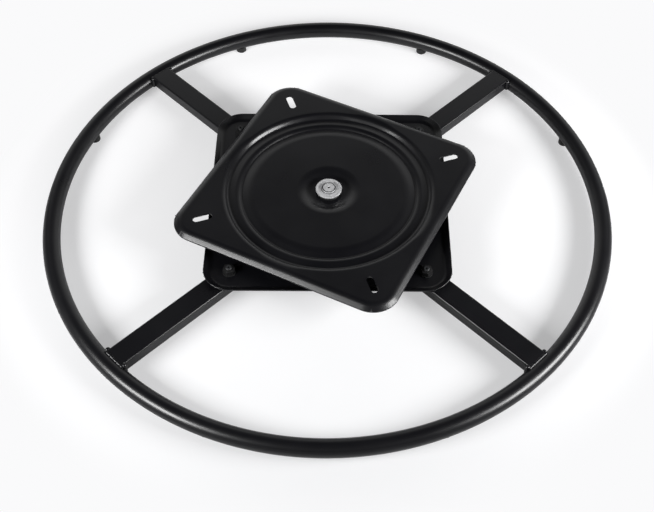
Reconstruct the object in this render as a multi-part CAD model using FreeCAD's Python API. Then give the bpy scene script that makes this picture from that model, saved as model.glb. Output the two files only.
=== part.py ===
import FreeCAD, Part
import math
import os

# Swivel base for a chair: a bent tube ring on small glides, a cross of flat tube welded inside it,
# and a ball swivel made of two pressed square plates that face each other.
# Lengths are in millimetres. The origin is on the floor under the middle of the ring, Z is up,
# and X runs along one pair of slots in the top plate.

# Ring tube
ring_radius = 354.0
tube_radius = 11.0
tube_wall = 1.5
ring_height = 16.0

# Glides pressed into the underside of the ring
glide_count = 8
glide_circle = 352.0
glide_radius = 7.5
glide_edge = 1.5
glide_top = 8.5
glide_taper = 0.5
stem_radius = 3.9
stem_hole_radius = 4.0
barb_radius = 4.6
barb_bottom = 9.6
barb_top = 12.4
barb_tip_radius = 3.0

# Cross bars of flat tube
bar_angle = 26.2
bar_width = 29.0
bar_height = 16.0
bar_wall = 1.5
bar_corner = 2.0
bar_reach = 344.0
bar_top = ring_height + tube_radius
bar_bottom = bar_top - bar_height

# Weld beads
side_bead_length = 6.5
side_bead_width = 4.5
side_bead_sink = 1.0
side_bead_height = 13.0
side_bead_lift = 0.5
bead_bulge = 0.5
top_bead_drop = 1.0
top_bead_fall = 1.4
top_bead_reach = 4.0
top_bead_overhang = 2.7
cross_bead_leg = 5.0

# Pressed swivel plates, measured from the middle plane between them
swivel_middle = 40.0
sheet = 2.2
plate_side = 303.8
plate_corner = 33.4
flat_height = 13.0
rim_bend = 11.0
rim_slope = 40.0
rim_flange = 5.5
dish_edge_radius = 140.4
slot_circle_radius = 165.0
slot_length = 25.0
slot_width = 9.0

# Levels and radii of the pressed dish, on its outer side
hub_hole_radius = 8.0
hub_level = 3.4
hub_floor_radius = 25.2
hub_rim_radius = 36.4
disc_level = 8.4
disc_radius = 100.0
disc_edge_slope = 20.0
ridge_inner_slope = 45.0
ridge_outer_slope = 12.0
wall_slope = 51.0
wall_top_radius = 134.35
hub_floor_bend = 22.0
hub_rim_bend = 26.0
disc_bend = 28.0
groove_bend = 2.5
wall_foot_bend = 4.0
wall_top_bend = 12.0

# Ball bearing
ball_radius = 5.55625
ball_play = 0.3
ball_count = 24
ball_circle_radius = 118.0
cage_half_width = 7.2
cage_thickness = 3.0
pocket_radius = 5.75
race_radius = ball_radius + ball_play

# Rivet, washers and bush at the hub
shank_radius = 6.0
shank_play = 0.05
shoulder_radius = 7.95
rivet_head_radius = 8.6
rivet_head_height = 2.2
rivet_head_round = 1.0
rivet_dimple_radius = 2.4
rivet_dimple_floor_radius = 1.2
rivet_dimple_depth = 1.0
lower_head_radius = 11.0
lower_head_height = 5.5
lower_head_chamfer = 2.0
hub_washer_radius = 16.6
hub_washer_thickness = 2.0
hub_washer_edge = 0.4
upper_washer_level = 8.4
bush_radius = 15.0
bush_gap = 0.3
thrust_radius = 22.0
thrust_thickness = 2.0

# Bolts that hold the lower plate to the bars
bolt_circle_radius = 170.0
bolt_radius = 4.0
bolt_hole_radius = 4.5
bolt_head_flats = 13.0
bolt_head_height = 5.3
nut_height = 6.5
nut_bore_radius = 4.05
washer_radius = 8.0
washer_thickness = 1.6
bolt_end_stand = 2.0
bolt_end_chamfer = 0.8

z_axis = FreeCAD.Vector(0, 0, 1)
x_axis = FreeCAD.Vector(1, 0, 0)
origin = FreeCAD.Vector(0, 0, 0)


def point(x, y, z):
    return FreeCAD.Vector(x, y, z)


def turned(shape, degrees):
    copy = shape.copy()
    copy.rotate(origin, z_axis, degrees)
    return copy


def lifted(shape, height):
    copy = shape.copy()
    copy.translate(point(0, 0, height))
    return copy


def cylinder(radius, bottom, top, x=0.0, y=0.0):
    return Part.makeCylinder(radius, top - bottom, point(x, y, bottom))


def spun(outline):
    """Solid of revolution about Z from a closed outline of (radius, height) pairs."""
    corners = [point(r, 0, z) for r, z in outline]
    face = Part.Face(Part.makePolygon(corners + corners[:1]))
    return face.revolve(origin, z_axis, 360)


def prism(outline, bottom, top):
    """Upright solid from a closed outline of (x, y) pairs."""
    corners = [point(x, y, bottom) for x, y in outline]
    face = Part.Face(Part.makePolygon(corners + corners[:1]))
    return face.extrude(point(0, 0, top - bottom))


def rounded_square(side, corner, top):
    """Upright square block with round corners."""
    block = Part.makeBox(side, side, top, point(-side / 2, -side / 2, 0))
    return block.makeFillet(corner, [e for e in block.Edges if abs(e.tangentAt(e.FirstParameter).z) > 0.999])


def hexagon(flats, bottom, top):
    """Hexagonal block with its upper and lower points turned off."""
    corner_radius = flats / math.sqrt(3)
    outline = []
    for k in range(6):
        a = math.radians(60 * k)
        outline.append((corner_radius * math.cos(a), corner_radius * math.sin(a)))
    rise = (corner_radius - flats / 2) * math.tan(math.radians(30))
    turned_off = spun([(0, bottom), (flats / 2, bottom), (corner_radius, bottom + rise),
                       (corner_radius, top - rise), (flats / 2, top), (0, top)])
    return prism(outline, bottom, top).common(turned_off)


def bent_strip(corners, bends, thickness):
    """Section of a bent sheet: its upper line runs through the corners, each rounded to its bend radius."""
    upper = [(corners[0], None)]
    lower = []
    first = corners[1] - corners[0]
    first_normal = point(-first.z, 0, first.x).normalize()
    lower.append((corners[0] - first_normal * thickness, None))
    for k in range(1, len(corners) - 1):
        ahead = (corners[k + 1] - corners[k]).normalize()
        behind = (corners[k] - corners[k - 1]).normalize()
        normal_in = point(-behind.z, 0, behind.x)
        normal_out = point(-ahead.z, 0, ahead.x)
        normal_mid = (normal_in + normal_out).normalize()
        half_turn = behind.getAngle(ahead) / 2
        reach = bends[k - 1] * math.tan(half_turn)
        start = corners[k] - behind * reach
        end = corners[k] + ahead * reach
        hollow = behind.x * ahead.z - behind.z * ahead.x > 0
        sag = bends[k - 1] * (1 / math.cos(half_turn) - 1)
        middle = corners[k] + normal_mid * (sag if hollow else -sag)
        upper += [(start, None), (end, middle)]
        lower += [(start - normal_in * thickness, None),
                  (end - normal_out * thickness, middle - normal_mid * thickness)]
    last = corners[-1] - corners[-2]
    last_normal = point(-last.z, 0, last.x).normalize()
    upper.append((corners[-1], None))
    lower.append((corners[-1] - last_normal * thickness, None))
    edges = []
    for line in (upper, lower):
        for (here, _), (there, middle) in zip(line, line[1:]):
            if middle is None:
                edges.append(Part.makeLine(here, there))
            else:
                edges.append(Part.Arc(here, middle, there).toShape())
    edges.append(Part.makeLine(upper[0][0], lower[0][0]))
    edges.append(Part.makeLine(upper[-1][0], lower[-1][0]))
    return Part.Face(Part.Wire(Part.__sortEdges__(edges)))


def slope_line(radius, height, degrees):
    """Straight line of the dish section: its height at radius zero, and its rise per unit of radius."""
    rise = math.tan(math.radians(degrees))
    return height - rise * radius, rise


def crossing(first, second):
    radius = (second[0] - first[0]) / (first[1] - second[1])
    return point(radius, 0, first[0] + first[1] * radius)


def race_tangent(degrees):
    """Line that touches the outer side of the ball race where the race slopes by the angle."""
    race_outer = race_radius + sheet
    a = math.radians(degrees)
    return slope_line(ball_circle_radius - race_outer * math.sin(a), race_outer * math.cos(a), degrees)


def dish():
    """Pressed middle of a plate: hub recess, flat disc, groove, ball race and sloping wall."""
    disc_edge = slope_line(disc_radius, disc_level, -disc_edge_slope)
    ridge_inner = race_tangent(ridge_inner_slope)
    ridge_outer = race_tangent(-ridge_outer_slope)
    wall = slope_line(wall_top_radius, flat_height, wall_slope)
    corners = [point(hub_hole_radius, 0, hub_level),
               point(hub_floor_radius, 0, hub_level),
               point(hub_rim_radius, 0, disc_level),
               point(disc_radius, 0, disc_level),
               crossing(disc_edge, ridge_inner),
               crossing(ridge_inner, ridge_outer),
               crossing(ridge_outer, wall),
               point(wall_top_radius, 0, flat_height),
               point(dish_edge_radius, 0, flat_height)]
    bends = [hub_floor_bend, hub_rim_bend, disc_bend, groove_bend, race_radius + sheet, wall_foot_bend,
             wall_top_bend]
    return bent_strip(corners, bends, sheet).revolve(origin, z_axis, 360)


def slot(radius, bottom, top):
    """Cutter for a round-ended slot that runs outwards along X."""
    half = (slot_length - slot_width) / 2
    block = Part.makeBox(2 * half, slot_width, top - bottom, point(radius - half, -slot_width / 2, bottom))
    inner_end = cylinder(slot_width / 2, bottom, top, radius - half)
    outer_end = cylinder(slot_width / 2, bottom, top, radius + half)
    return block.fuse([inner_end, outer_end])


def margin_section(start):
    """Section of a plate's margin before trimming: flat from the start outwards, then rolled down."""
    slope = math.radians(rim_slope)
    down_slope = point(math.cos(slope), 0, -math.sin(slope))
    reach = rim_bend * math.tan(slope / 2) + rim_flange
    bend_corner = point(start + plate_corner - reach * math.cos(slope), 0, flat_height)
    waste_edge = bend_corner + down_slope * (reach + sheet)
    return bent_strip([point(start, 0, flat_height), bend_corner, waste_edge], [rim_bend], sheet)


def rimmed_sheet():
    """Square sheet with a rim rolled down all round, trimmed upright to its round-cornered outline."""
    core = plate_side / 2 - plate_corner
    side = margin_section(core).extrude(point(0, 2 * core, 0))
    side.translate(point(0, -core, 0))
    corner = margin_section(0).revolve(origin, z_axis, 90)
    corner.translate(point(core, core, 0))
    middle = Part.makeBox(2 * core, 2 * core, sheet, point(-core, -core, flat_height - sheet))
    pressing = middle.fuse([turned(piece, 90 * k) for piece in (side, corner) for k in range(4)])
    return pressing.common(rounded_square(plate_side, plate_corner, 2 * flat_height))


def pressed_plate():
    """One swivel plate with its rim turned down, on the middle plane, corners on X and Y."""
    margin = rimmed_sheet().cut(cylinder(dish_edge_radius, 0, 2 * flat_height))
    plate = turned(margin.fuse(dish()).removeSplitter(), 45)
    for k in range(4):
        plate = plate.cut(turned(slot(slot_circle_radius, 0, 2 * flat_height), 90 * k))
    return plate


def ring_solid(radius):
    return Part.makeTorus(ring_radius, radius, point(0, 0, ring_height), z_axis)


def glide_angle(k):
    return bar_angle + 360.0 / glide_count * (k + 0.5)


def ring_tube():
    """Bent round tube, hollow, with one hole underneath for each glide."""
    tube = ring_solid(tube_radius).cut(ring_solid(tube_radius - tube_wall))
    for k in range(glide_count):
        hole = cylinder(stem_hole_radius, 0, ring_height, glide_circle)
        tube = tube.cut(turned(hole, glide_angle(k)))
    return tube


def glide():
    """Push-in foot at the +X side of the ring: a pad that cups the tube, and a barbed stem."""
    pad = spun([(0, 0), (glide_radius - glide_edge, 0), (glide_radius, glide_edge),
                (glide_radius - glide_taper, glide_top), (0, glide_top)])
    pad.translate(point(glide_circle, 0, 0))
    pad = pad.cut(ring_solid(tube_radius))
    stem = spun([(0, glide_edge), (stem_radius, glide_edge), (stem_radius, barb_bottom),
                 (barb_radius, barb_bottom), (barb_tip_radius, barb_top), (0, barb_top)])
    stem.translate(point(glide_circle, 0, 0))
    return pad.fuse(stem).removeSplitter()


def flat_tube(start, end):
    """Rectangular tube with round corners that lies along X at bar height."""
    def block(inset):
        box = Part.makeBox(end - start, bar_width - 2 * inset, bar_height - 2 * inset,
                           point(start, inset - bar_width / 2, bar_bottom + inset))
        along = [e for e in box.Edges if abs(e.tangentAt(e.FirstParameter).x) > 0.999]
        return box.makeFillet(bar_corner - inset, along)
    return block(0).cut(block(bar_wall))


def bolt_hole(radius):
    return cylinder(bolt_hole_radius, 0, swivel_middle, radius)


def long_bar():
    bar = flat_tube(-bar_reach, bar_reach).cut(ring_solid(tube_radius))
    return bar.cut([bolt_hole(bolt_circle_radius), bolt_hole(-bolt_circle_radius)])


def short_bar():
    bar = flat_tube(bar_width / 2, bar_reach).cut(ring_solid(tube_radius))
    return bar.cut(bolt_hole(bolt_circle_radius))


def side_bead(side):
    """Upright bead in the corner between a bar's side and the ring."""
    near = bar_reach - side_bead_length
    half = bar_width / 2
    wide = half + side_bead_width
    middle_x = bar_reach - side_bead_length / 2 - bead_bulge
    middle_y = half + side_bead_width / 2 + bead_bulge
    bottom = bar_bottom + side_bead_lift
    foot = point(near, side * half, bottom)
    tip = point(bar_reach + side_bead_sink, side * wide, bottom)
    bulge = point(middle_x, side * middle_y, bottom)
    inner = point(bar_reach + side_bead_sink, side * half, bottom)
    outline = Part.Wire([Part.Arc(foot, bulge, tip).toShape(), Part.makeLine(tip, inner),
                         Part.makeLine(inner, foot)])
    return Part.Face(outline).extrude(point(0, 0, side_bead_height))


def top_bead():
    """Bead that fills the valley between a bar's upper edge and the ring."""
    half = bar_width / 2 + top_bead_overhang
    high = bar_top - top_bead_drop
    far = bar_reach + top_bead_reach
    low = high - top_bead_fall
    start = point(bar_reach, -half, high)
    bulge = point(bar_reach + top_bead_reach / 2, -half, (high + low) / 2 + bead_bulge)
    end = point(far, -half, low)
    under_far = point(far, -half, ring_height)
    under_near = point(bar_reach, -half, ring_height)
    outline = Part.Wire([Part.Arc(start, bulge, end).toShape(), Part.makeLine(end, under_far),
                         Part.makeLine(under_far, under_near), Part.makeLine(under_near, start)])
    return Part.Face(outline).extrude(point(0, 2 * half, 0))


def ring_weld():
    """Weld that joins the end of one bar to the inside of the ring."""
    bead = top_bead().fuse([side_bead(1), side_bead(-1)])
    return bead.cut([ring_solid(tube_radius), long_bar()]).removeSplitter()


def cross_weld():
    """Upright bead in one corner of the cross."""
    corner = bar_width / 2
    outline = [(corner, corner), (corner + cross_bead_leg, corner), (corner, corner + cross_bead_leg)]
    return prism(outline, bar_bottom + bar_corner, bar_top - bar_corner)


def bolt():
    """Hexagon bolt from below the bar up through the lower plate."""
    end = swivel_middle - flat_height + sheet + washer_thickness + nut_height + bolt_end_stand
    shank = spun([(0, bar_bottom), (bolt_radius, bar_bottom), (bolt_radius, end - bolt_end_chamfer),
                  (bolt_radius - bolt_end_chamfer, end), (0, end)])
    head = hexagon(bolt_head_flats, bar_bottom - bolt_head_height, bar_bottom)
    return shank.fuse(head).removeSplitter()


def bolt_washer():
    bottom = swivel_middle - flat_height + sheet
    disc = cylinder(washer_radius, bottom, bottom + washer_thickness)
    return disc.cut(cylinder(bolt_hole_radius, bottom, bottom + washer_thickness))


def nut():
    bottom = swivel_middle - flat_height + sheet + washer_thickness
    block = hexagon(bolt_head_flats, bottom, bottom + nut_height)
    return block.cut(cylinder(nut_bore_radius, bottom, bottom + nut_height))


def at_bolts(shape):
    """Four copies of a fastener, one on each bar."""
    shape.translate(point(bolt_circle_radius, 0, 0))
    return Part.makeCompound([turned(shape, bar_angle + 90 * k) for k in range(4)])


def hub_washer(bottom, hole_radius):
    """Round washer with broken edges."""
    top = bottom + hub_washer_thickness
    rim = hub_washer_radius
    edge = hub_washer_edge
    return spun([(hole_radius, bottom), (rim - edge, bottom), (rim, bottom + edge), (rim, top - edge),
                 (rim - edge, top), (hole_radius, top)])


def rivet():
    """Shouldered rivet that holds the two plates together."""
    hub_gap = hub_level - sheet
    lower_seat = -hub_level - hub_washer_thickness
    lower_end = lower_seat - lower_head_height
    head_seat = upper_washer_level + hub_washer_thickness
    head_top = head_seat + rivet_head_height
    dimple_floor = head_top - rivet_dimple_depth
    return spun([(0, lower_end), (lower_head_radius - lower_head_chamfer, lower_end),
                 (lower_head_radius, lower_end + lower_head_chamfer),
                 (lower_head_radius, lower_seat), (shoulder_radius, lower_seat),
                 (shoulder_radius, -hub_gap), (shank_radius, -hub_gap), (shank_radius, head_seat),
                 (rivet_head_radius, head_seat), (rivet_head_radius, head_top - rivet_head_round),
                 (rivet_head_radius - rivet_head_round, head_top), (rivet_dimple_radius, head_top),
                 (rivet_dimple_floor_radius, dimple_floor), (0, dimple_floor)])


def hub_bush():
    """Flanged bush seated in the hub of the top plate."""
    bore = shank_radius + shank_play
    return spun([(bore, hub_level - sheet), (hub_hole_radius, hub_level - sheet),
                 (hub_hole_radius, hub_level), (bush_radius, hub_level),
                 (bush_radius, upper_washer_level - bush_gap), (bore, upper_washer_level - bush_gap)])


def thrust_washer():
    bottom = sheet - hub_level
    bore = shank_radius + shank_play
    disc = cylinder(thrust_radius, bottom, bottom + thrust_thickness)
    return disc.cut(cylinder(bore, bottom, bottom + thrust_thickness))


def around_race(shape):
    return [turned(shape, 360.0 / ball_count * k) for k in range(ball_count)]


def ball_cage():
    """Flat ring with one pocket for each ball."""
    half = cage_thickness / 2
    ring = cylinder(ball_circle_radius + cage_half_width, -half, half)
    ring = ring.cut(cylinder(ball_circle_radius - cage_half_width, -half, half))
    return ring.cut(around_race(cylinder(pocket_radius, -half, half, ball_circle_radius)))


def balls():
    return Part.makeCompound(around_race(Part.makeSphere(ball_radius, point(ball_circle_radius, 0, 0))))


def save(shape, name):
    shape.exportStep("parts/" + name + ".step")


os.makedirs("parts", exist_ok=True)

# Base: ring, glides and welded cross
save(ring_tube(), "ring_tube")
for k in range(glide_count):
    save(turned(glide(), glide_angle(k)), "glide_" + str(k + 1))
save(turned(long_bar(), bar_angle), "long_bar")
save(turned(short_bar(), bar_angle + 90), "short_bar_left")
save(turned(short_bar(), bar_angle - 90), "short_bar_right")
save(Part.makeCompound([turned(ring_weld(), bar_angle + 90 * k) for k in range(4)]), "ring_welds")
save(Part.makeCompound([turned(cross_weld(), bar_angle + 90 * k) for k in range(4)]), "cross_welds")

# Lower plate and its bolts
top_plate = pressed_plate()
bottom_plate = top_plate.copy()
bottom_plate.rotate(origin, x_axis, 180)
save(lifted(turned(bottom_plate, bar_angle), swivel_middle), "bottom_plate")
save(at_bolts(bolt()), "base_bolts")
save(at_bolts(bolt_washer()), "base_bolt_washers")
save(at_bolts(nut()), "base_bolt_nuts")

# Hub and bearing
save(lifted(rivet(), swivel_middle), "center_rivet")
save(lifted(hub_washer(upper_washer_level, shank_radius + shank_play), swivel_middle), "rivet_washer")
lower_washer_bottom = swivel_middle - hub_level - hub_washer_thickness
save(hub_washer(lower_washer_bottom, hub_hole_radius), "lower_rivet_washer")
save(lifted(thrust_washer(), swivel_middle), "thrust_washer")
save(lifted(ball_cage(), swivel_middle), "ball_cage")
save(lifted(balls(), swivel_middle), "bearing_balls")

# Turning side
save(lifted(hub_bush(), swivel_middle), "hub_bush")
save(lifted(top_plate, swivel_middle), "top_plate")
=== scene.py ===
import math

import bmesh
import bpy
from mathutils import Matrix, Vector


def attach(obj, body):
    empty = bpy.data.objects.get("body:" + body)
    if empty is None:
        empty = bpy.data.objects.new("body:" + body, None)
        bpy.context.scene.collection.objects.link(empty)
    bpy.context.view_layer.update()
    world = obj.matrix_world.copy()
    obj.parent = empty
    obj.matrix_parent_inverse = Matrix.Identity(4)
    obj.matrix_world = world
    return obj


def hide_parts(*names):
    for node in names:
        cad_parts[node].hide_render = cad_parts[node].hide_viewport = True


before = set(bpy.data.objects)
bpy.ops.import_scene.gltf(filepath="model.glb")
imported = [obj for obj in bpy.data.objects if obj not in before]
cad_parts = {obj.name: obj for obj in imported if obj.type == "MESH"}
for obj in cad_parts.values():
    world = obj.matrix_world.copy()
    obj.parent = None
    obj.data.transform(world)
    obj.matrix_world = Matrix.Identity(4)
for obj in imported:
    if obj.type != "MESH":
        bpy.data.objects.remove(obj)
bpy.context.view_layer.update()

# Swivel base for a chair, in the frame of its solids. Sizes below are in millimetres.
MM = 0.001
MERGE = 0.002

# Ring tube and glides. A coarser tube cuts the seats in the bars and the glides.
RING_RADIUS = 354.0
TUBE_RADIUS = 11.0
RING_HEIGHT = 16.0
RING_STEPS, TUBE_SIDES = 288, 56
SEAT_STEPS, SEAT_SIDES = 192, 48
GLIDE_COUNT = 8
GLIDE_CIRCLE = 352.0
GLIDE_RADIUS = 7.5
GLIDE_TOP = 8.5
GLIDE_EDGE = 1.5
GLIDE_TAPER = 0.5
GLIDE_RIM = 4.5
GLIDE_RECESS = 0.4

# Cross bars
BAR_ANGLE = 26.2
BAR_WIDTH = 29.0
BAR_HEIGHT = 16.0
BAR_WALL = 1.5
BAR_CORNER = 2.0
BAR_REACH = 344.0
BAR_TOP = RING_HEIGHT + TUBE_RADIUS
BAR_BOTTOM = BAR_TOP - BAR_HEIGHT

# Weld beads, laid in drops: back from the bar's end and out from its sides, then past its end and under its top
WELD_RADIUS = 2.5
WELD_RIPPLE = 0.2
WELD_RIPPLE_TURN = 2.4
WELD_STEP = 2.0
WELD_SIDE_DROPS = 7
WELD_TOP_DROPS = 13
WELD_BACK, WELD_OUT = 1.6, 1.0
WELD_PAST, WELD_UNDER = 1.2, 3.1
WELD_INSET = 0.4
WELD_GRAIN = 0.45

# Swivel plates, with levels measured from the plane half way between them
MIDDLE = 40.0
SHEET = 2.2
PLATE_SIDE = 303.8
PLATE_CORNER = 33.4
CORNER_STEPS = 39
FLAT = 13.0
RIM_SLOPE = math.radians(40.0)
RIM_BEND = 11.0
RIM_BEND_END = FLAT - RIM_BEND * (1 - math.cos(RIM_SLOPE))
RIM_FLANGE = 5.5
RIM_EDGE_ROUND = 0.7
RIM_TIP_ROUND = 0.7
RIM_TIP_TRIM = 0.8
BEND_STEPS = 9
DISH_EDGE = 140.4
SLOT_CIRCLE = 165.0
SLOT_LENGTH = 25.0
SLOT_WIDTH = 9.0
EDGE_BREAK = 0.35

# Pressed dish: hub recess, disc, groove, ball race and wall
HUB_HOLE = 8.0
HUB_LEVEL = 3.4
HUB_FLOOR = 25.2
HUB_RIM = 36.4
DISC_LEVEL = 8.4
DISC_RADIUS = 100.0
DISC_SLOPE = 20.0
RIDGE_INNER_SLOPE = 45.0
RIDGE_OUTER_SLOPE = 12.0
HUB_FLOOR_BEND = 22.0
HUB_RIM_BEND = 26.0
DISC_BEND = 28.0
GROOVE_BEND = 2.5
WALL_FOOT_BEND = 4.0

# The wall by slope, radius at the top and bend at the top: drawn out at the sides, steeper towards the corners
SIDE_WALL = (44.0, 135.0, 12.0)
CORNER_WALL = (54.0, 133.4, 7.5)
SIDE_WALL_ANGLE = 5.0
CORNER_WALL_ANGLE = 16.0

# Ball bearing
BALL_RADIUS = 5.55625
BALL_CIRCLE = 118.0
BALL_COUNT = 24
CAGE_HALF_WIDTH = 7.2
CAGE_HALF_THICK = 1.5
CAGE_EDGE = 0.5
POCKET_RADIUS = 5.75
RACE_PLAY = 0.3
RACE_OUTER = BALL_RADIUS + RACE_PLAY + SHEET

# Hub parts
BORE_PLAY = 0.05
SHANK_RADIUS = 6.0
SHOULDER_RADIUS = 7.95
HUB_WASHER_RADIUS = 16.6
HUB_WASHER_THICK = 2.0
HUB_WASHER_RIM = 1.2
HUB_WASHER_CUP = 4.6
HUB_WASHER_SUNK = 0.8
UPPER_WASHER = 8.4
BUSH_RADIUS = 15.0
BUSH_PLAY = 0.3

# The rivet's lower head from the middle outwards, by radius and depth
LOWER_HEAD = ((0.0, 5.5), (9.0, 5.5), (10.4, 4.9), (11.0, 3.5), (11.0, 0.0))

# The rivet's upper head from the edge inwards, by radius, depth and bend: lip, groove, dome and punch mark
RIVET_HEAD_RADIUS = 8.6
RIVET_HEAD_HEIGHT = 2.2
RIVET_FOOT_BEND = 0.2
UPPER_HEAD = ((RIVET_HEAD_RADIUS, 0.7, 0.1), (8.4, 0.6, 0.1), (8.2, 1.2, 0.1), (7.9, 1.2, 0.1), (7.6, 0.5, 0.3),
              (3.4, 0.0, 3.0), (1.9, 0.0, 0.2), (1.2, 1.0, 0.2))

# Bolts that hold the lower plate to the bars
BOLT_CIRCLE = 170.0
BOLT_RADIUS = 4.0
BOLT_HOLE = BOLT_RADIUS + 0.5
BOLT_HEAD = 5.3
HEX_FLATS = 13.0
HEX_FACE = HEX_FLATS / 2 * 0.97
HEX_CHAMFER = math.radians(30)
WASHER_SEAT = MIDDLE - FLAT + SHEET
WASHER_RADIUS = 8.0
WASHER_THICK = 1.6
WASHER_EDGE = 0.3
NUT_SEAT = WASHER_SEAT + WASHER_THICK
NUT_HEIGHT = 6.5
BOLT_STAND = 2.0
BOLT_END = NUT_SEAT + NUT_HEIGHT + BOLT_STAND
BOLT_TIP = 0.9
THREAD_TURNS = 7
THREAD_PITCH = 1.25
THREAD_DEPTH = 0.6

# Mark in the bolt's end: radius at the end, radius at the bottom, and depth
BOLT_MARK = (1.5, 1.1, 1.4)


def clear_selection():
    if bpy.context.object and bpy.context.object.mode != "OBJECT":
        bpy.ops.object.mode_set(mode="OBJECT")
    bpy.ops.object.select_all(action="DESELECT")


def pick(active, *others):
    """Select only these pieces, the first of them active."""
    clear_selection()
    for piece in (active, *others):
        piece.select_set(True)
    bpy.context.view_layer.objects.active = active


def edit(piece):
    pick(piece)
    bpy.ops.object.mode_set(mode="EDIT")


def choose(piece, part, test):
    """Select the edges or faces in edit mode that pass the test, by their middle in mm and their direction."""
    bpy.ops.mesh.select_mode(type=part)
    bpy.ops.mesh.select_all(action="DESELECT")
    mesh = bmesh.from_edit_mesh(piece.data)
    if part == "EDGE":
        for e in mesh.edges:
            a, b = e.verts[0].co, e.verts[1].co
            e.select_set(test((a + b) / 2 / MM, (b - a).normalized()))
    else:
        for f in mesh.faces:
            f.select_set(test(f.calc_center_median() / MM, f.normal))
    bmesh.update_edit_mesh(piece.data)


def round_edges(radius, steps):
    """Round the chosen edges to a radius in mm."""
    bpy.ops.mesh.bevel(offset=radius * MM, segments=steps, profile=0.5, affect="EDGES")


def close_seams():
    """Merge doubles in edit mode and turn the faces outwards."""
    bpy.ops.mesh.select_all(action="SELECT")
    bpy.ops.mesh.remove_doubles(threshold=MERGE * MM)
    bpy.ops.mesh.normals_make_consistent(inside=False)


def spin_round(steps):
    """Spin the line in edit mode once about Z."""
    bpy.ops.mesh.select_all(action="SELECT")
    bpy.ops.mesh.spin(steps=steps, angle=2 * math.pi, center=(0, 0, 0), axis=(0, 0, 1))
    close_seams()


def done(piece, name):
    """Leave edit mode with the piece's place in its mesh."""
    pick(piece)
    bpy.ops.object.transform_apply(location=True, rotation=True, scale=True)
    piece.name = name
    piece.data.name = name
    return piece


def block(size, middle):
    """A cube primitive at its size and place, in mm."""
    clear_selection()
    bpy.ops.mesh.primitive_cube_add(size=1, location=Vector(middle) * MM)
    piece = bpy.context.object
    piece.scale = Vector(size) * MM
    return done(piece, "block")


def cylinder(radius, height, middle, sides):
    """A cylinder primitive at its size and place, in mm."""
    clear_selection()
    bpy.ops.mesh.primitive_cylinder_add(vertices=sides, radius=radius * MM, depth=height * MM,
                                        location=[c * MM for c in middle])
    return done(bpy.context.object, "cylinder")


def rounded_block(side, corner, bottom, top):
    """Upright square block with round corners, about Z."""
    piece = block((side, side, top - bottom), (0, 0, (top + bottom) / 2))
    edit(piece)
    choose(piece, "EDGE", lambda p, d: abs(d.z) > 0.9)
    round_edges(corner, CORNER_STEPS)
    return done(piece, "rounded_block")


def lathe(outline, steps, lift=0.0):
    """Draw one point out along the outline of (radius, height) pairs, raised by the lift, and spin the line about Z."""
    clear_selection()
    bpy.ops.mesh.primitive_plane_add(size=MM)
    piece = bpy.context.object
    edit(piece)
    bpy.ops.mesh.select_mode(type="VERT")
    bpy.ops.mesh.select_all(action="SELECT")
    bpy.ops.mesh.merge(type="CENTER")
    points = [Vector((r, 0, z + lift)) * MM for r, z in outline]
    bpy.ops.transform.translate(value=points[0])
    for here, there in zip(points, points[1:]):
        bpy.ops.mesh.extrude_vertices_move(TRANSFORM_OT_translate={"value": there - here})
    spin_round(steps)
    return done(piece, "turning")


def rounded(corners, bends, steps):
    """Outline through the corners, with each one between the two ends rounded to its bend radius."""
    line = [Vector(corners[0])]
    for before, corner, after, bend in zip(corners, corners[1:], corners[2:], bends):
        corner = Vector(corner)
        behind = (corner - Vector(before)).normalized()
        ahead = (Vector(after) - corner).normalized()
        half = behind.angle(ahead) / 2
        reach = bend * math.tan(half)
        start, end = corner - behind * reach, corner + ahead * reach
        inward = (ahead - behind).normalized()
        center = corner + inward * bend / math.cos(half)
        first, last = start - center, end - center
        for s in range(steps + 1):
            share = s / steps
            a, b = math.sin((1 - share) * 2 * half), math.sin(share * 2 * half)
            line.append(center + (first * a + last * b) / math.sin(2 * half))
    line.append(Vector(corners[-1]))
    return [tuple(p) for p in line]


def modify(piece, kind, **settings):
    """Add a modifier and apply it."""
    pick(piece)
    modifier = piece.modifiers.new(kind.title(), kind)
    for name, value in settings.items():
        setattr(modifier, name, value)
    bpy.ops.object.modifier_apply(modifier=modifier.name)


def carve(piece, cutter, operation="DIFFERENCE"):
    """Cut a piece with another and remove the cutter."""
    modify(piece, "BOOLEAN", object=cutter, operation=operation, solver="EXACT")
    bpy.data.objects.remove(cutter)


def copied(piece, turn=0.0):
    """A copy with its own mesh, turned about Z by degrees."""
    pick(piece)
    bpy.ops.object.duplicate(linked=False)
    copy = bpy.context.object
    copy.rotation_euler = (0, 0, math.radians(turn))
    return done(copy, piece.name)


def joined(pieces, name):
    pick(*pieces)
    bpy.ops.object.join()
    return done(bpy.context.object, name)


def ring_of(piece, count, first, name):
    """Copies of one piece around Z, joined as one group."""
    group = [copied(piece, first + 360 / count * k) for k in range(count)]
    bpy.data.objects.remove(piece)
    return joined(group, name)


def smooth(piece, angle=35.0):
    pick(piece)
    bpy.ops.object.shade_smooth_by_angle(angle=math.radians(angle))
    return piece


def weigh_normals(piece):
    """Keep wide flats flat next to small rounds."""
    modify(piece, "WEIGHTED_NORMAL", mode="FACE_AREA", weight=80, keep_sharp=True)


def tube_ring(steps, sides):
    """Round tube bent to the ring, as one closed sweep."""
    clear_selection()
    bpy.ops.mesh.primitive_circle_add(vertices=sides, radius=TUBE_RADIUS * MM, rotation=(math.pi / 2, 0, 0),
                                      location=Vector((RING_RADIUS, 0, RING_HEIGHT)) * MM)
    piece = done(bpy.context.object, "tube")
    edit(piece)
    spin_round(steps)
    return done(piece, "tube")


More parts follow.
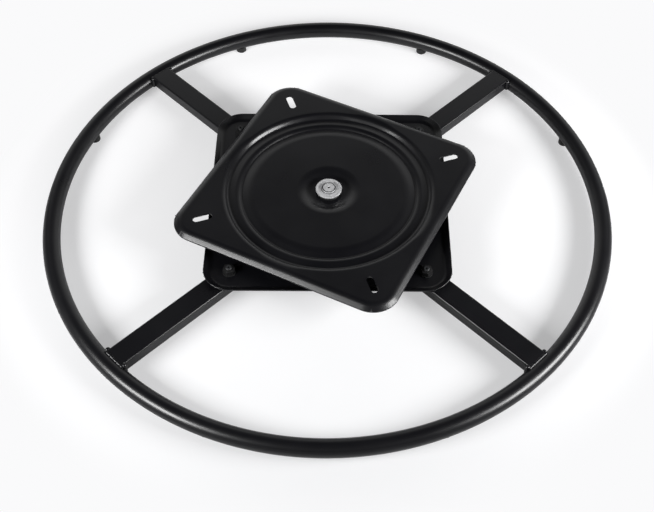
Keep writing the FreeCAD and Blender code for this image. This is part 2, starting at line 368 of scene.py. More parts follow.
def hexagon(bottom, top):
    """Hexagon bar with its corners turned off at both ends."""
    corner = HEX_FLATS / math.sqrt(3)
    piece = cylinder(corner, top - bottom, (0, 0, (top + bottom) / 2), 6)
    rise = (corner - HEX_FLATS / 2) * math.tan(HEX_CHAMFER) * 1.3
    past = corner + 0.2
    turned_off = lathe([(0, bottom), (HEX_FACE, bottom), (past, bottom + rise), (past, top - rise), (HEX_FACE, top),
                        (0, top)], 48)
    carve(piece, turned_off, "INTERSECT")
    return piece


def slot_cutter():
    """Round-ended bar that stands in one slot on the +X side."""
    piece = block((SLOT_LENGTH, SLOT_WIDTH, 40.0), (SLOT_CIRCLE, 0, FLAT))
    edit(piece)
    choose(piece, "EDGE", lambda p, d: abs(d.z) > 0.9)
    round_edges(SLOT_WIDTH / 2 - MERGE, 14)
    bpy.ops.mesh.select_all(action="SELECT")
    bpy.ops.mesh.remove_doubles(threshold=10 * MERGE * MM)
    return done(piece, "slot")


def slope_line(radius, level, degrees):
    """Straight run of the dish section: its level at radius zero and its rise per mm."""
    rise = math.tan(math.radians(degrees))
    return level - rise * radius, rise


def race_tangent(degrees):
    """Run that touches the outer side of the ball race where the race slopes by the angle."""
    a = math.radians(degrees)
    return slope_line(BALL_CIRCLE - RACE_OUTER * math.sin(a), RACE_OUTER * math.cos(a), degrees)


def crossing(first, second):
    """Radius and level at which two runs meet."""
    radius = (second[0] - first[0]) / (first[1] - second[1])
    return radius, first[0] + first[1] * radius


def dish(wall_slope, wall_top, wall_top_bend):
    """Middle of a plate spun all round: hub recess, disc, groove, ridge of the ball race, and wall."""
    disc_edge = slope_line(DISC_RADIUS, DISC_LEVEL, -DISC_SLOPE)
    ridge_inner = race_tangent(RIDGE_INNER_SLOPE)
    ridge_outer = race_tangent(-RIDGE_OUTER_SLOPE)
    wall = slope_line(wall_top, FLAT, wall_slope)
    corners = [(HUB_HOLE, HUB_LEVEL), (HUB_FLOOR, HUB_LEVEL), (HUB_RIM, DISC_LEVEL), (DISC_RADIUS, DISC_LEVEL),
               crossing(disc_edge, ridge_inner), crossing(ridge_inner, ridge_outer), crossing(ridge_outer, wall),
               (wall_top, FLAT), (DISH_EDGE, FLAT)]
    bends = [HUB_FLOOR_BEND, HUB_RIM_BEND, DISC_BEND, GROOVE_BEND, RACE_OUTER, WALL_FOOT_BEND, wall_top_bend]
    return lathe(rounded(corners, bends, 8), 4 * (CORNER_STEPS + 1))


def pressed_dish():
    """Dish whose wall is mixed from its shape at the plate's sides and its shape towards the corners."""
    pressing, steep = dish(*SIDE_WALL), dish(*CORNER_WALL)
    pick(pressing, steep)
    bpy.ops.object.join_shapes()
    towards_corners = pressing.vertex_groups.new(name="towards_corners")
    for v in pressing.data.vertices:
        turn = math.degrees(math.atan2(v.co.y, v.co.x)) % 90
        share = (min(turn, 90 - turn) - SIDE_WALL_ANGLE) / (CORNER_WALL_ANGLE - SIDE_WALL_ANGLE)
        share = min(max(share, 0.0), 1.0)
        towards_corners.add([v.index], share * share * (3 - 2 * share), "REPLACE")
    shape = pressing.data.shape_keys.key_blocks[-1]
    shape.vertex_group = towards_corners.name
    shape.value = 1.0
    pressing.active_shape_key_index = 1
    bpy.ops.object.shape_key_remove(all=True, apply_mix=True)
    pressing.vertex_groups.clear()
    bpy.data.objects.remove(steep)
    return pressing


def rolled_rim():
    """Round-cornered square drawn in and up from its untrimmed edge: a sloping flange, then the bend to the flat."""
    flange = RIM_FLANGE + SHEET
    waste = SHEET * math.cos(RIM_SLOPE)
    edge_level = RIM_BEND_END - flange * math.sin(RIM_SLOPE)
    rim = rounded_block(PLATE_SIDE + 2 * waste, PLATE_CORNER + waste, edge_level - SHEET, edge_level)
    edit(rim)
    choose(rim, "FACE", lambda p, n: n.z < 0.9)
    bpy.ops.mesh.delete(type="FACE")
    bpy.ops.mesh.select_all(action="SELECT")
    bpy.ops.mesh.inset(thickness=flange * math.cos(RIM_SLOPE) * MM, depth=flange * math.sin(RIM_SLOPE) * MM)
    for k in range(BEND_STEPS):
        here, there = RIM_SLOPE * (1 - k / BEND_STEPS), RIM_SLOPE * (1 - (k + 1) / BEND_STEPS)
        bpy.ops.mesh.inset(thickness=RIM_BEND * (math.sin(here) - math.sin(there)) * MM,
                           depth=RIM_BEND * (math.cos(there) - math.cos(here)) * MM)
    bpy.ops.mesh.delete(type="FACE")
    return done(rim, "rim")


def rim_trimmer(bottom):
    """Block that trims the rim upright and rounds its tip at the bottom level, with room below for the dish."""
    trimmer = rounded_block(PLATE_SIDE, PLATE_CORNER, bottom, 2 * FLAT)
    edit(trimmer)
    choose(trimmer, "EDGE", lambda p, d: p.z < bottom + 0.1 and abs(d.z) < 0.1)
    round_edges(RIM_TIP_ROUND, 5)
    choose(trimmer, "FACE", lambda p, n: n.z < -0.995)
    bpy.ops.mesh.inset(thickness=2 * SHEET * MM, depth=0)
    bpy.ops.mesh.extrude_region_move(TRANSFORM_OT_translate={"value": (0, 0, -2 * FLAT * MM)})
    return done(trimmer, "trimmer")


def pressed_plate():
    """One swivel plate with its rim turned down, about the middle plane, corners on X and Y."""
    pressing = pressed_dish()
    plate = joined([rolled_rim(), pressing], "plate")
    edit(plate)
    choose(plate, "EDGE", lambda p, d: p.z > FLAT - 0.01 and abs(d.z) < 0.01 and p.xy.length > DISH_EDGE - 0.1)
    bpy.ops.mesh.bridge_edge_loops()
    close_seams()
    plate = done(plate, "plate")
    if sum(f.normal.z * f.area for f in plate.data.polygons) < 0:
        edit(plate)
        bpy.ops.mesh.select_all(action="SELECT")
        bpy.ops.mesh.flip_normals()
        plate = done(plate, "plate")
    modify(plate, "SOLIDIFY", thickness=SHEET * MM, offset=-1.0, use_even_offset=True, use_quality_normals=True)

    edge_level = RIM_BEND_END - RIM_FLANGE * math.sin(RIM_SLOPE)
    carve(plate, rim_trimmer(edge_level - SHEET / math.cos(RIM_SLOPE) + RIM_TIP_TRIM), "INTERSECT")
    edit(plate)
    choose(plate, "EDGE", lambda p, d: abs(p.z - edge_level) < 0.05 and abs(d.z) < 0.05)
    round_edges(RIM_EDGE_ROUND, 3)
    plate = done(plate, "plate")
    plate.rotation_euler = (0, 0, math.radians(45))
    plate = done(plate, "plate")
    carve(plate, ring_of(slot_cutter(), 4, 0.0, "slots"))
    modify(plate, "BEVEL", width=EDGE_BREAK * MM, segments=2, limit_method="ANGLE", angle_limit=math.radians(60),
           harden_normals=False)
    smooth(plate)
    weigh_normals(plate)
    return plate


def flat_tube(start, end, turn):
    """Rectangular tube along X with rolled corners and open ends, seated on the ring, then turned to its place."""
    level = (BAR_TOP + BAR_BOTTOM) / 2
    piece = block((end - start, BAR_WIDTH, BAR_HEIGHT), ((start + end) / 2, 0, level))
    edit(piece)
    choose(piece, "EDGE", lambda p, d: abs(d.x) > 0.9)
    round_edges(BAR_CORNER, 6)
    choose(piece, "FACE", lambda p, n: abs(n.x) > 0.9)
    bpy.ops.mesh.delete(type="FACE")
    piece = done(piece, "bar")
    modify(piece, "SOLIDIFY", thickness=BAR_WALL * MM, offset=-1.0, use_even_offset=True)
    carve(piece, tube_ring(SEAT_STEPS, SEAT_SIDES))
    for place in (BOLT_CIRCLE, -BOLT_CIRCLE):
        if start < place < end:
            carve(piece, cylinder(BOLT_HOLE, 2 * BAR_HEIGHT, (place, 0, level), 32))
    smooth(piece)
    weigh_normals(piece)
    piece.rotation_euler = (0, 0, math.radians(turn))
    return done(piece, "bar")


def weld():
    """Rippled bead up one side of a bar's end, across the valley at its top, and down the other side."""
    half = BAR_WIDTH / 2
    levels = [BAR_BOTTOM + WELD_STEP + WELD_STEP * k for k in range(WELD_SIDE_DROPS)]
    top_step = (BAR_WIDTH - 2 * WELD_INSET) / (WELD_TOP_DROPS - 1)
    path = [(BAR_REACH - WELD_BACK, -half - WELD_OUT, level) for level in levels]
    path += [(BAR_REACH + WELD_PAST, -half + WELD_INSET + top_step * k, BAR_TOP - WELD_UNDER)
             for k in range(WELD_TOP_DROPS)]
    path += [(BAR_REACH - WELD_BACK, half + WELD_OUT, level) for level in reversed(levels)]
    drops = []
    for k, place in enumerate(path):
        clear_selection()
        bpy.ops.mesh.primitive_uv_sphere_add(segments=20, ring_count=12, radius=1.0 * MM, location=Vector(place) * MM)
        drop = bpy.context.object
        size = WELD_RADIUS + WELD_RIPPLE * math.sin(WELD_RIPPLE_TURN * k)
        at_top = WELD_SIDE_DROPS <= k < WELD_SIDE_DROPS + WELD_TOP_DROPS
        drop.scale = (size, size, size) if at_top else (size * 1.15, size, size * 0.9)
        drops.append(done(drop, "drop"))
    bead = joined(drops, "bead")
    modify(bead, "REMESH", mode="VOXEL", voxel_size=WELD_GRAIN * MM)
    modify(bead, "SMOOTH", factor=0.5, iterations=3)
    return smooth(bead, 60.0)


def glide():
    """Push-in foot on the +X side of the ring, cupped to the tube."""
    piece = cylinder(GLIDE_RADIUS, GLIDE_TOP, (GLIDE_CIRCLE, 0, GLIDE_TOP / 2), 64)
    edit(piece)
    choose(piece, "FACE", lambda p, n: n.z > 0.9)
    share = 1 - GLIDE_TAPER / GLIDE_RADIUS
    bpy.ops.transform.resize(value=(share, share, 1), center_override=Vector((GLIDE_CIRCLE, 0, GLIDE_TOP)) * MM)
    choose(piece, "FACE", lambda p, n: n.z < -0.9)
    bpy.ops.mesh.inset(thickness=GLIDE_RIM * MM, depth=0)
    bpy.ops.mesh.extrude_region_move(TRANSFORM_OT_translate={"value": (0, 0, GLIDE_RECESS * MM)})
    choose(piece, "EDGE", lambda p, d: p.z < 0.01 and abs(d.z) < 0.1
           and (p.xy - Vector((GLIDE_CIRCLE, 0))).length > GLIDE_RADIUS - 0.3)
    round_edges(GLIDE_EDGE, 5)
    piece = done(piece, "glide")
    carve(piece, tube_ring(SEAT_STEPS, SEAT_SIDES))
    return smooth(piece)


def at_bolts(piece):
    """One copy on each bar at the bolt circle."""
    piece.location = (BOLT_CIRCLE * MM, 0, 0)
    return smooth(ring_of(done(piece, "fastener"), 4, BAR_ANGLE, "fasteners"))


def bolt():
    """Hexagon bolt, its upper end cut with a thread, broken at the tip and marked in the middle."""
    foot = BAR_BOTTOM - 0.5
    outline = [(0, foot), (BOLT_RADIUS, foot)]
    level = BOLT_END - THREAD_TURNS * THREAD_PITCH
    while level < BOLT_END - THREAD_PITCH:
        outline += [(BOLT_RADIUS, level), (BOLT_RADIUS - THREAD_DEPTH, level + THREAD_PITCH / 2)]
        level += THREAD_PITCH
    wide, narrow, deep = BOLT_MARK
    outline += [(BOLT_RADIUS, BOLT_END - BOLT_TIP), (BOLT_RADIUS - BOLT_TIP, BOLT_END), (wide, BOLT_END),
                (narrow, BOLT_END - deep), (0, BOLT_END - deep)]
    shank = lathe(outline, 40)
    return joined([shank, hexagon(BAR_BOTTOM - BOLT_HEAD, BAR_BOTTOM)], "bolt")


def bolt_washer():
    """Stamped washer with rolled edges."""
    corners = [(BOLT_HOLE, WASHER_SEAT), (WASHER_RADIUS, WASHER_SEAT), (WASHER_RADIUS, NUT_SEAT), (BOLT_HOLE, NUT_SEAT)]
    return lathe(rounded(corners, [WASHER_EDGE] * 2, 4) + [corners[0]], 64)


def nut():
    """Hexagon nut with a bore for the bolt."""
    piece = hexagon(NUT_SEAT, NUT_SEAT + NUT_HEIGHT)
    carve(piece, cylinder(BOLT_RADIUS + BORE_PLAY, 40, (0, 0, WASHER_SEAT), 40))
    return piece


def hub_washer():
    """Cupped washer under the rivet's head: its rim stands a little higher than its middle."""
    bottom, top = UPPER_WASHER, UPPER_WASHER + HUB_WASHER_THICK
    hole, rim, sunk = SHANK_RADIUS + BORE_PLAY, HUB_WASHER_RADIUS, top - HUB_WASHER_SUNK
    corners = [(hole, bottom), (rim, bottom), (rim, top), (rim - HUB_WASHER_RIM, top), (rim - HUB_WASHER_CUP, sunk),
               (hole, sunk)]
    return lathe(rounded(corners, [0.3, 0.25, 0.6, 3.0], 5) + [corners[0]], 96, MIDDLE)


def rivet():
    """Shouldered rivet: pressed lower head, plain shank, and a domed upper head with a groove and a punch mark."""
    low = -HUB_LEVEL - HUB_WASHER_THICK
    shoulder = SHEET - HUB_LEVEL
    foot = UPPER_WASHER + HUB_WASHER_THICK - HUB_WASHER_SUNK
    top = UPPER_WASHER + HUB_WASHER_THICK + RIVET_HEAD_HEIGHT
    outline = [(radius, low - depth) for radius, depth in LOWER_HEAD]
    outline += [(SHOULDER_RADIUS, low), (SHOULDER_RADIUS, shoulder), (SHANK_RADIUS, shoulder)]
    corners = [(SHANK_RADIUS, foot), (RIVET_HEAD_RADIUS, foot)]
    corners += [(radius, top - depth) for radius, depth, bend in UPPER_HEAD]
    bends = [RIVET_FOOT_BEND] + [bend for radius, depth, bend in UPPER_HEAD]
    return lathe(outline + rounded(corners + [(0, corners[-1][1])], bends, 4), 72, MIDDLE)


def bush():
    """Flanged bush in the hub of the top plate."""
    bore, bottom, top = SHANK_RADIUS + BORE_PLAY, HUB_LEVEL - SHEET, UPPER_WASHER - BUSH_PLAY
    corners = [(bore, bottom), (HUB_HOLE, bottom), (HUB_HOLE, HUB_LEVEL), (BUSH_RADIUS, HUB_LEVEL), (BUSH_RADIUS, top),
               (bore, top)]
    return lathe(rounded(corners, [0.3, 0.2, 0.4, 0.8], 4) + [corners[0]], 72, MIDDLE)


def cage():
    """Moulded ball cage: a flat ring with rounded edges and one pocket for each ball."""
    half = CAGE_HALF_THICK
    inner, outer = BALL_CIRCLE - CAGE_HALF_WIDTH, BALL_CIRCLE + CAGE_HALF_WIDTH
    corners = [(BALL_CIRCLE, -half), (outer, -half), (outer, half), (inner, half), (inner, -half), (BALL_CIRCLE, -half)]
    ring = lathe(rounded(corners, [CAGE_EDGE] * 4, 3), 144, MIDDLE)
    pocket = cylinder(POCKET_RADIUS, 12, (BALL_CIRCLE, 0, MIDDLE), 32)
    carve(ring, ring_of(pocket, BALL_COUNT, 0.0, "pockets"))
    return smooth(ring)


def ball():
    clear_selection()
    bpy.ops.mesh.primitive_ico_sphere_add(subdivisions=4, radius=BALL_RADIUS * MM,
                                          location=Vector((BALL_CIRCLE, 0, MIDDLE)) * MM)
    return smooth(done(bpy.context.object, "ball"), 60.0)


# Painted shade on the hub's rivet and washer, in the head's groove, at its foot and in the punch mark: radius in mm and
# how dark it is painted there
PAINTED_SHADE_REACH = 20.0
PAINTED_SHADE_RINGS = ((0.0, 0.9), (1.4, 0.9), (1.9, 0.0), (7.1, 0.0), (7.4, 0.95), (8.45, 0.95), (8.55, 0.0), (8.62, 0.0),
                (8.7, 0.8), (9.4, 0.8), (10.0, 0.0), (20.0, 0.0))


def linear(hex_colour):
    """sRGB hex to linear colour."""
    parts = [int(hex_colour[k:k + 2], 16) / 255 for k in (1, 3, 5)]
    return tuple(p / 12.92 if p <= 0.04045 else ((p + 0.055) / 1.055) ** 2.4 for p in parts) + (1.0,)


def add_node(tree, kind, inputs=None, **settings):
    """Add a node, set it, and fill or link its inputs."""
    made = tree.nodes.new(kind)
    for name, value in settings.items():
        setattr(made, name, value)
    for socket, value in (inputs or {}).items():
        if isinstance(value, bpy.types.NodeSocket):
            tree.links.new(value, made.inputs[socket])
        else:
            made.inputs[socket].default_value = value
    return made


def start_material(name):
    material = bpy.data.materials.new(name)
    material.use_nodes = True
    material.node_tree.nodes.clear()
    return material, material.node_tree


def powder_coat():
    """Satin black polyester powder baked on steel: a thick even film whose fine orange peel softens highlights."""
    material, tree = start_material("powder_coat_satin_black")
    place = add_node(tree, "ShaderNodeTexCoord").outputs["Object"]
    peel = add_node(tree, "ShaderNodeTexNoise", {"Vector": place, "Scale": 1 / (1.6 * MM), "Detail": 2.0})
    cloud = add_node(tree, "ShaderNodeTexNoise", {"Vector": place, "Scale": 1 / (60 * MM), "Detail": 3.0})
    tone = add_node(tree, "ShaderNodeMix", {"Factor": cloud.outputs["Fac"], "A": linear("#0a0a0d"),
                                            "B": linear("#0e0e11")}, data_type="RGBA")
    gloss = add_node(tree, "ShaderNodeMapRange", {"Value": cloud.outputs["Fac"], "From Min": 0.3, "From Max": 0.7,
                                                  "To Min": 0.27, "To Max": 0.35})
    bump = add_node(tree, "ShaderNodeBump", {"Height": peel.outputs["Fac"], "Strength": 0.25, "Distance": 0.03 * MM})
    shader = add_node(tree, "ShaderNodeBsdfPrincipled", {
        "Base Color": tone.outputs["Result"], "Roughness": gloss.outputs["Result"], "Normal": bump.outputs["Normal"],
        "IOR": 1.5})
    add_node(tree, "ShaderNodeOutputMaterial", {"Surface": shader.outputs["BSDF"]})
    return material


def zinc_plate():
    """Bright zinc on a turned rivet and washer: pale mottled metal, with painted shade in the groove round the rivet's
    head, at its foot on the washer and in its punch mark.
    """
    material, tree = start_material("zinc_plate_bright")
    place = add_node(tree, "ShaderNodeTexCoord").outputs["Object"]
    flat = add_node(tree, "ShaderNodeMapping", {"Vector": place, "Scale": (1.0, 1.0, 0.0)}).outputs["Vector"]
    marks = add_node(tree, "ShaderNodeTexWave", {"Vector": flat, "Scale": 1 / (4 * MM), "Distortion": 1.5,
                                                 "Detail": 2.0}, wave_type="RINGS", rings_direction="SPHERICAL")
    mottle = add_node(tree, "ShaderNodeTexNoise", {"Vector": place, "Scale": 1 / (3 * MM), "Detail": 3.0})
    bare = add_node(tree, "ShaderNodeMix", {"Factor": mottle.outputs["Fac"], "A": linear("#a4a5a7"),
                                            "B": linear("#dfdfe0")}, data_type="RGBA")
    out = add_node(tree, "ShaderNodeVectorMath", {0: flat}, operation="LENGTH")
    reach = add_node(tree, "ShaderNodeMapRange", {"Value": out.outputs["Value"], "From Max": PAINTED_SHADE_REACH * MM})
    # Painted shade: dark rings by radius in the groove round the rivet's head, at its foot on the washer and in the
    # punch mark
    grease_and_painted_shade = add_node(tree, "ShaderNodeValToRGB", {"Fac": reach.outputs["Result"]})
    for radius, level in PAINTED_SHADE_RINGS[1:-1]:
        grease_and_painted_shade.color_ramp.elements.new(radius / PAINTED_SHADE_REACH)
    for element, (radius, level) in zip(grease_and_painted_shade.color_ramp.elements, PAINTED_SHADE_RINGS):
        element.position = radius / PAINTED_SHADE_REACH
        element.color = (level, level, level, 1.0)
    # The dark colour of the painted shade
    tone = add_node(tree, "ShaderNodeMix", {"Factor": grease_and_painted_shade.outputs["Color"], "A": bare.outputs["Result"],
                                            "B": linear("#1c1b1a")}, data_type="RGBA")
    gloss = add_node(tree, "ShaderNodeMapRange", {"Value": mottle.outputs["Fac"], "To Min": 0.3, "To Max": 0.46})
    bump = add_node(tree, "ShaderNodeBump", {"Height": marks.outputs["Fac"], "Strength": 0.15, "Distance": 0.05 * MM})
    shader = add_node(tree, "ShaderNodeBsdfPrincipled", {
        "Base Color": tone.outputs["Result"], "Roughness": gloss.outputs["Result"], "Normal": bump.outputs["Normal"],
        "Metallic": 0.35})
    add_node(tree, "ShaderNodeOutputMaterial", {"Surface": shader.outputs["BSDF"]})
    return material


def black_oxide():
    """Black oxide on steel bolts and nuts: a thin dark film with an uneven sheen, lighter grey on the bolt ends as a
    painted highlight.
    """
    material, tree = start_material("black_oxide_steel")
    place = add_node(tree, "ShaderNodeTexCoord").outputs["Object"]
    blotch = add_node(tree, "ShaderNodeTexNoise", {"Vector": place, "Scale": 1 / (2.5 * MM), "Detail": 4.0})
    film = add_node(tree, "ShaderNodeMix", {"Factor": blotch.outputs["Fac"], "A": linear("#0a0a0b"),
                                            "B": linear("#121213")}, data_type="RGBA")
    height = add_node(tree, "ShaderNodeSeparateXYZ", {"Vector": place}).outputs["Z"]
    # Painted highlight: the bolt ends are coloured lighter grey over their top 0.8 mm
    painted_end_highlight = add_node(tree, "ShaderNodeMapRange", {"Value": height, "From Min": (BOLT_END - 0.8) * MM,
                                                 "From Max": (BOLT_END - 0.5) * MM})
    tone = add_node(tree, "ShaderNodeMix", {"Factor": painted_end_highlight.outputs["Result"], "A": film.outputs["Result"],
                                            "B": linear("#242527")}, data_type="RGBA")
    gloss = add_node(tree, "ShaderNodeMapRange", {"Value": blotch.outputs["Fac"], "To Min": 0.5, "To Max": 0.66})
    bump = add_node(tree, "ShaderNodeBump", {"Height": blotch.outputs["Fac"], "Strength": 0.2, "Distance": 0.05 * MM})
    shader = add_node(tree, "ShaderNodeBsdfPrincipled", {
        "Base Color": tone.outputs["Result"], "Roughness": gloss.outputs["Result"], "Normal": bump.outputs["Normal"],
        "IOR": 1.4})
    add_node(tree, "ShaderNodeOutputMaterial", {"Surface": shader.outputs["BSDF"]})
    return material


def moulded_nylon(name, dark, light, rough):
    """Injection moulded nylon: a dull skin with a faint spark texture from the mould."""
    material, tree = start_material(name)
    place = add_node(tree, "ShaderNodeTexCoord").outputs["Object"]
    grain = add_node(tree, "ShaderNodeTexNoise", {"Vector": place, "Scale": 1 / (0.9 * MM), "Detail": 3.0})
    tone = add_node(tree, "ShaderNodeMix", {"Factor": grain.outputs["Fac"], "A": linear(dark), "B": linear(light)},
                    data_type="RGBA")
    gloss = add_node(tree, "ShaderNodeMapRange", {"Value": grain.outputs["Fac"], "To Min": rough - 0.06,
                                                  "To Max": rough + 0.06})
    bump = add_node(tree, "ShaderNodeBump", {"Height": grain.outputs["Fac"], "Strength": 0.3, "Distance": 0.04 * MM})
    shader = add_node(tree, "ShaderNodeBsdfPrincipled", {
        "Base Color": tone.outputs["Result"], "Roughness": gloss.outputs["Result"], "Normal": bump.outputs["Normal"],
        "IOR": 1.53})
    add_node(tree, "ShaderNodeOutputMaterial", {"Surface": shader.outputs["BSDF"]})
    return material


def bearing_steel():
    """Ground and polished bearing balls with a film of grease that dulls them in places."""
    material, tree = start_material("bearing_steel_polished")
    place = add_node(tree, "ShaderNodeTexCoord").outputs["Object"]
    grease_and_painted_shade = add_node(tree, "ShaderNodeTexNoise", {"Vector": place, "Scale": 1 / (5 * MM), "Detail": 2.0})
    tone = add_node(tree, "ShaderNodeMix", {"Factor": grease_and_painted_shade.outputs["Fac"], "A": linear("#a9abad"),
                                            "B": linear("#c8c9ca")}, data_type="RGBA")
    gloss = add_node(tree, "ShaderNodeMapRange", {"Value": grease_and_painted_shade.outputs["Fac"], "From Min": 0.4, "From Max": 0.7,
                                                  "To Min": 0.08, "To Max": 0.25})
    shader = add_node(tree, "ShaderNodeBsdfPrincipled", {
        "Base Color": tone.outputs["Result"], "Roughness": gloss.outputs["Result"], "Metallic": 1.0})
    add_node(tree, "ShaderNodeOutputMaterial", {"Surface": shader.outputs["BSDF"]})
    return material


def finish_piece(piece, name, material, body, slot, *nodes):
    """Give a piece its name, material and body, and hide the solids that it stands for."""
    piece.name = name
    piece.data.name = name
    piece.data.materials.clear()
    piece.data.materials.append(material)
    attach(piece, body)
    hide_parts(*nodes)


COAT = powder_coat()
ZINC = zinc_plate()
OXIDE = black_oxide()
BLACK_NYLON = moulded_nylon("nylon_black_moulded", "#0d0d0d", "#161616", 0.5)
# The collar's nylon is darker than the glides' as painted shade under the hub washer
SHADED_BUSH_NYLON = moulded_nylon("nylon_black_painted_shade", "#060606", "#0a0a0a", 0.8)
NATURAL_NYLON = moulded_nylon("nylon_natural_moulded", "#cfc9b8", "#ddd8c9", 0.45)
BALL_STEEL = bearing_steel()

# Base: ring, glides, bars and welds
ring = smooth(tube_ring(RING_STEPS, TUBE_SIDES), 60.0)
finish_piece(ring, "ring_bent_tube", COAT, "base", "black_coat", "ring_tube")

foot = glide()
for k in range(GLIDE_COUNT):
    number = str(k + 1)
    copy = copied(foot, BAR_ANGLE + 360 / GLIDE_COUNT * (k + 0.5))
    finish_piece(copy, "glide_foot_" + number, BLACK_NYLON, "base", "black_nylon", "glide_" + number)
bpy.data.objects.remove(foot)

for node, start, turn in (("long_bar", -BAR_REACH, BAR_ANGLE), ("short_bar_left", BAR_WIDTH / 2, BAR_ANGLE + 90),
                          ("short_bar_right", BAR_WIDTH / 2, BAR_ANGLE - 90)):
    finish_piece(flat_tube(start, BAR_REACH, turn), node + "_tube", COAT, "base", "black_coat", node)
finish_piece(ring_of(weld(), 4, BAR_ANGLE, "weld"), "ring_weld_beads", COAT, "base", "black_coat", "ring_welds")

# Swivel plates: one pressing, used twice
upper = pressed_plate()
lower = copied(upper)
lower.rotation_euler = (math.pi, 0, 0)
lower = done(lower, "lower")
lower.rotation_euler = (0, 0, math.radians(BAR_ANGLE))
lower.location = (0, 0, MIDDLE * MM)
finish_piece(done(lower, "lower"), "bottom_plate_pressing", COAT, "base", "black_coat", "bottom_plate")
upper.location = (0, 0, MIDDLE * MM)
finish_piece(done(upper, "upper"), "top_plate_pressing", COAT, "turntable", "black_coat", "top_plate")

# Bolts with their washers and nuts
finish_piece(at_bolts(bolt()), "corner_bolts", OXIDE, "base", "black_oxide", "base_bolts")
finish_piece(at_bolts(bolt_washer()), "corner_washers", OXIDE, "base", "black_oxide", "base_bolt_washers")
finish_piece(at_bolts(nut()), "corner_nuts", OXIDE, "base", "black_oxide", "base_bolt_nuts")

# Hub and bearing
finish_piece(smooth(rivet()), "hub_rivet", ZINC, "base", "zinc_steel", "center_rivet")
finish_piece(smooth(hub_washer()), "hub_washer", ZINC, "base", "zinc_steel", "rivet_washer")
finish_piece(smooth(bush()), "hub_collar", SHADED_BUSH_NYLON, "turntable", "black_nylon", "hub_bush")
finish_piece(cage(), "ball_cage_ring", NATURAL_NYLON, "ball_ring", "natural_nylon", "ball_cage")
finish_piece(ring_of(ball(), BALL_COUNT, 0.0, "balls"), "race_balls", BALL_STEEL, "ball_ring", "bearing_steel",
             "bearing_balls")

# Solids that keep their own shape
for node, material in (("cross_welds", COAT), ("lower_rivet_washer", ZINC), ("thrust_washer", NATURAL_NYLON)):
    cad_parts[node].data.materials.clear()
    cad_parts[node].data.materials.append(material)

# Stage: paper floor, graded by depth in the view and turning into the backdrop away from the middle, in metres
VIEW_YAW = -17.93
FLOOR_SIZE = 40.0
FLOOR_GRADE = (-0.5, 0.25)
BACKDROP_FROM, BACKDROP_FULL = 0.37, 0.46
FLOOR_LIFT = 0.4
MIRRORED_SHARE = 0.25


def floor_material():
    """Matt paper sweep, graded from grey in front to white behind, with the white of the backdrop showing in it."""
    material, tree = start_material("paper_sweep_white")
    place = add_node(tree, "ShaderNodeTexCoord").outputs["Object"]
    level = add_node(tree, "ShaderNodeMapping", {"Vector": place, "Rotation": (0, 0, math.radians(-VIEW_YAW))})
    depth = add_node(tree, "ShaderNodeSeparateXYZ", {"Vector": level.outputs["Vector"]}).outputs["Y"]
    grade = add_node(tree, "ShaderNodeMapRange", {"Value": depth, "From Min": FLOOR_GRADE[0],
                                                  "From Max": FLOOR_GRADE[1]})
    fibre = add_node(tree, "ShaderNodeTexNoise", {"Vector": place, "Scale": 1 / (40 * MM), "Detail": 4.0})
    near = add_node(tree, "ShaderNodeMix", {"Factor": fibre.outputs["Fac"], "A": linear("#9fa0a1"),
                                            "B": linear("#a3a3a4")}, data_type="RGBA")
    tone = add_node(tree, "ShaderNodeMix", {"Factor": grade.outputs["Result"], "A": near.outputs["Result"],
                                            "B": linear("#dfdfe0")}, data_type="RGBA")
    paper = add_node(tree, "ShaderNodeBsdfDiffuse", {"Color": tone.outputs["Result"]})
    ray = add_node(tree, "ShaderNodeLightPath").outputs
    mirrored = add_node(tree, "ShaderNodeMath", {0: ray["Is Glossy Ray"], 1: ray["Is Transmission Ray"]},
                        operation="MAXIMUM")
    dimmed = add_node(tree, "ShaderNodeMath", {0: mirrored.outputs["Value"], 1: MIRRORED_SHARE}, operation="MULTIPLY")
    seen = add_node(tree, "ShaderNodeMath", {0: ray["Is Camera Ray"], 1: dimmed.outputs["Value"]},
                    operation="MAXIMUM")
    lift = add_node(tree, "ShaderNodeMath", {0: seen.outputs["Value"], 1: FLOOR_LIFT}, operation="MULTIPLY")
    white = add_node(tree, "ShaderNodeEmission", {"Color": linear("#fcfcfd"), "Strength": lift.outputs["Value"]})
    near_floor = add_node(tree, "ShaderNodeAddShader", {0: paper.outputs["BSDF"], 1: white.outputs["Emission"]})
    far = add_node(tree, "ShaderNodeVectorMath", {0: place}, operation="LENGTH")
    share = add_node(tree, "ShaderNodeMapRange", {"Value": far.outputs["Value"], "From Min": BACKDROP_FROM,
                                                  "From Max": BACKDROP_FULL}, interpolation_type="SMOOTHSTEP")
    backdrop = add_node(tree, "ShaderNodeEmission", {"Color": linear("#fafafb"), "Strength": seen.outputs["Value"]})
    sweep = add_node(tree, "ShaderNodeMixShader", {0: share.outputs["Result"], 1: near_floor.outputs["Shader"],
                                                   2: backdrop.outputs["Emission"]})
    add_node(tree, "ShaderNodeOutputMaterial", {"Surface": sweep.outputs["Shader"]})
    return material


clear_selection()
bpy.ops.mesh.primitive_plane_add(size=FLOOR_SIZE)
floor = done(bpy.context.object, "floor")
floor.data.materials.append(floor_material())

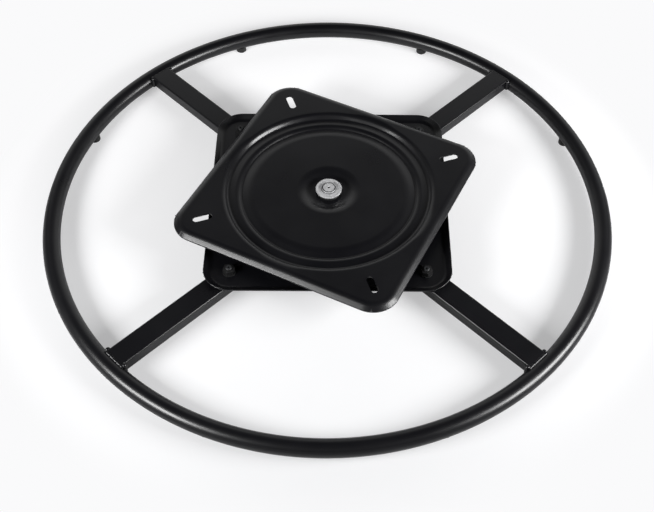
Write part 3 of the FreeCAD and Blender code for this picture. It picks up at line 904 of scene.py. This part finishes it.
# Camera: the picture's viewpoint, worked out from the ring's outline
CAMERA_PLACE = (1.26, -933.76, 1070.08)
CAMERA_PAN = -2.25
CAMERA_TILT = 51.094
CAMERA_ROLL = 1.399
FOCAL_PIXELS = 1081.2
CENTRE_PIXELS = 29.89
PICTURE_WIDTH = 654
pan, tilt, roll = (math.radians(a) for a in (CAMERA_PAN, CAMERA_TILT, CAMERA_ROLL))
yaw = Matrix.Rotation(math.radians(VIEW_YAW), 4, "Z")
ahead = Matrix.Rotation(pan, 3, "Z") @ Vector((0, math.cos(tilt), -math.sin(tilt)))
right = Matrix.Rotation(pan, 3, "Z") @ Vector((1, 0, 0))
up = right.cross(ahead)
side = right * math.cos(roll) + up * math.sin(roll)
top = up * math.cos(roll) - right * math.sin(roll)
pose = Matrix((side, top, -ahead)).transposed().to_4x4()
pose.translation = Vector(CAMERA_PLACE) * MM
lens = bpy.data.cameras.new("camera")
lens.sensor_width = 36.0
lens.lens = FOCAL_PIXELS * lens.sensor_width / PICTURE_WIDTH
lens.shift_x = -CENTRE_PIXELS / PICTURE_WIDTH
camera = bpy.data.objects.new("camera", lens)
bpy.context.scene.collection.objects.link(camera)
camera.matrix_world = yaw @ pose
bpy.context.scene.camera = camera

# Light: a soft box at the left and at the right, a wide dim panel behind, and little from above and in front.
# Each is given by its bearing, height angle, distance, width, height, turn and brightness, as seen from the object.
LIGHTS = (("soft_box_left", -144.8, 26.7, 1.26, 0.57, 0.38, 8.0, 17.7),
          ("soft_box_right", -20.8, 23.0, 1.5, 0.81, 0.47, -17.0, 20.5),
          ("back_panel", 88.0, 19.0, 2.6, 5.2, 1.8, 0.0, 0.4))
for name, bearing, rise, distance, width, tall, turn, bright in LIGHTS:
    light = bpy.data.lights.new(name, "AREA")
    light.shape = "RECTANGLE"
    light.size, light.size_y = width, tall
    light.energy = bright * 4 * width * tall
    lamp = bpy.data.objects.new(name, light)
    bpy.context.scene.collection.objects.link(lamp)
    bearing, rise = math.radians(bearing + VIEW_YAW), math.radians(rise)
    away = Vector((math.cos(bearing) * math.cos(rise), math.sin(bearing) * math.cos(rise), math.sin(rise)))
    across = Vector((-math.sin(bearing), math.cos(bearing), 0))
    facing = Matrix((across, away.cross(across), away)).transposed().to_4x4()
    lamp.matrix_world = Matrix.Translation(away * distance) @ facing @ Matrix.Rotation(math.radians(turn), 4, "Z")
    lamp.visible_camera = False

# Brightness of the surroundings by height: pale at the horizon, a dim ceiling behind, dark overhead
SKY = ((0.0, 0.5), (0.08, 0.5), (0.16, 0.06), (0.45, 0.1), (0.66, 0.2), (0.84, 0.01), (1.0, 0.01))
world = bpy.data.worlds.new("studio")
bpy.context.scene.world = world
world.use_nodes = True
sky = world.node_tree
sky.nodes.clear()
direction = add_node(sky, "ShaderNodeTexCoord").outputs["Generated"]
height = add_node(sky, "ShaderNodeSeparateXYZ", {"Vector": direction}).outputs["Z"]
ramp = add_node(sky, "ShaderNodeValToRGB", {"Fac": height})
for place, level in SKY[1:-1]:
    ramp.color_ramp.elements.new(place)
for element, (place, level) in zip(ramp.color_ramp.elements, SKY):
    element.position = place
    element.color = (level, level, level, 1.0)
glow = add_node(sky, "ShaderNodeBackground", {"Color": ramp.outputs["Color"], "Strength": 1.0})
add_node(sky, "ShaderNodeOutputWorld", {"Surface": glow.outputs["Background"]})

bpy.context.scene.view_settings.view_transform = "Standard"
